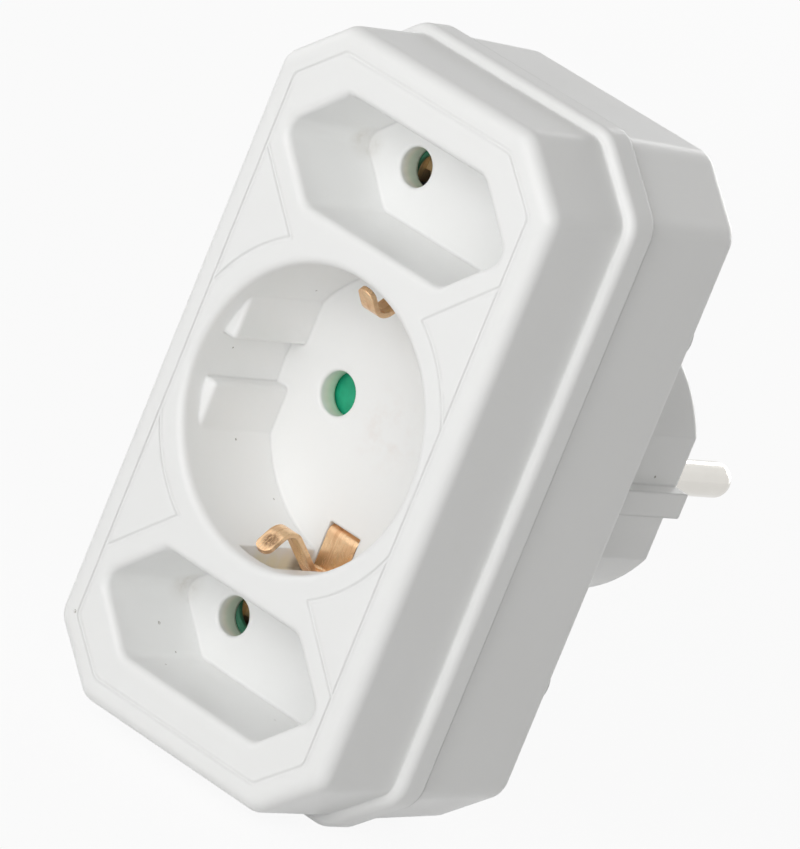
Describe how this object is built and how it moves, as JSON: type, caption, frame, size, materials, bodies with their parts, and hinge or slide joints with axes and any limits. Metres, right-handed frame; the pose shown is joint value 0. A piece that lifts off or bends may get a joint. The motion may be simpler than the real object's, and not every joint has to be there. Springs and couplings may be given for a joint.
{
  "type": "multi socket adapter",
  "caption": "Plug-in mains adapter: an earthed round socket between flat sockets for slim plugs, with sprung shutters, on a round plug with side earth contacts.",
  "frame": {"origin": "centre of the round plug's end face, which meets the bottom of the wall socket", "axes": "+Z along the body's length, +X along the row of pins, +Y out of the plug towards the wall"},
  "size_m": [0.0524, 0.0763, 0.0974],
  "materials": {
    "front_plastic": "satin white moulding, slightly glossy",
    "rear_plastic": "satin white moulding",
    "cap_plastic": "plain matt moulding",
    "carrier_plastic": "plain matt moulding",
    "green_plastic": "satin green moulding",
    "bronze": "rolled bronze strip, satin",
    "brass": "stamped brass strip, satin",
    "pin_metal": "nickel plated, polished",
    "rivet_metal": "turned brass",
    "spring_steel": "drawn spring wire",
    "screw_steel": "zinc plated"
  },
  "bodies": {
    "housing": {"front_cover": "front_plastic", "rear_cover": "rear_plastic", "earth_strap": "bronze", "plug_earth_bow": "bronze", "contact_carrier": "carrier_plastic", "right_busbar": "brass", "left_busbar": "brass", "right_pin": "pin_metal", "left_pin": "pin_metal", "upper_rivet": "rivet_metal", "lower_rivet": "rivet_metal", "round_shutter_cap": "cap_plastic", "upper_shutter_cap": "cap_plastic", "lower_shutter_cap": "cap_plastic", "round_shutter_spring": "spring_steel", "upper_shutter_spring": "spring_steel", "lower_shutter_spring": "spring_steel", "housing_screw_1": "screw_steel", "housing_screw_2": "screw_steel", "housing_screw_3": "screw_steel", "housing_screw_4": "screw_steel"},
    "round_shutter": {"round_shutter": "green_plastic"},
    "upper_shutter": {"upper_shutter": "green_plastic"},
    "lower_shutter": {"lower_shutter": "green_plastic"}
  },
  "joints": [
    {"name": "round_shutter_turn", "type": "hinge", "parent": "housing", "child": "round_shutter", "pos_m": [0, -0.0353, 0], "axis": [0, 1, 0], "range_deg": [0, 45], "stiffness_Nm_per_rad": 0.003, "springref_deg": -17.19},
    {"name": "upper_shutter_slide", "type": "slide", "parent": "housing", "child": "upper_shutter", "axis": [0, 0, 1], "range_m": [0, 0.0012], "stiffness_N_per_m": 120, "springref_m": -0.002, "deforming": ["upper_shutter_spring"]},
    {"name": "lower_shutter_slide", "type": "slide", "parent": "housing", "child": "lower_shutter", "axis": [0, 0, -1], "range_m": [0, 0.0012], "stiffness_N_per_m": 120, "springref_m": -0.002, "deforming": ["lower_shutter_spring"]}
  ]
}
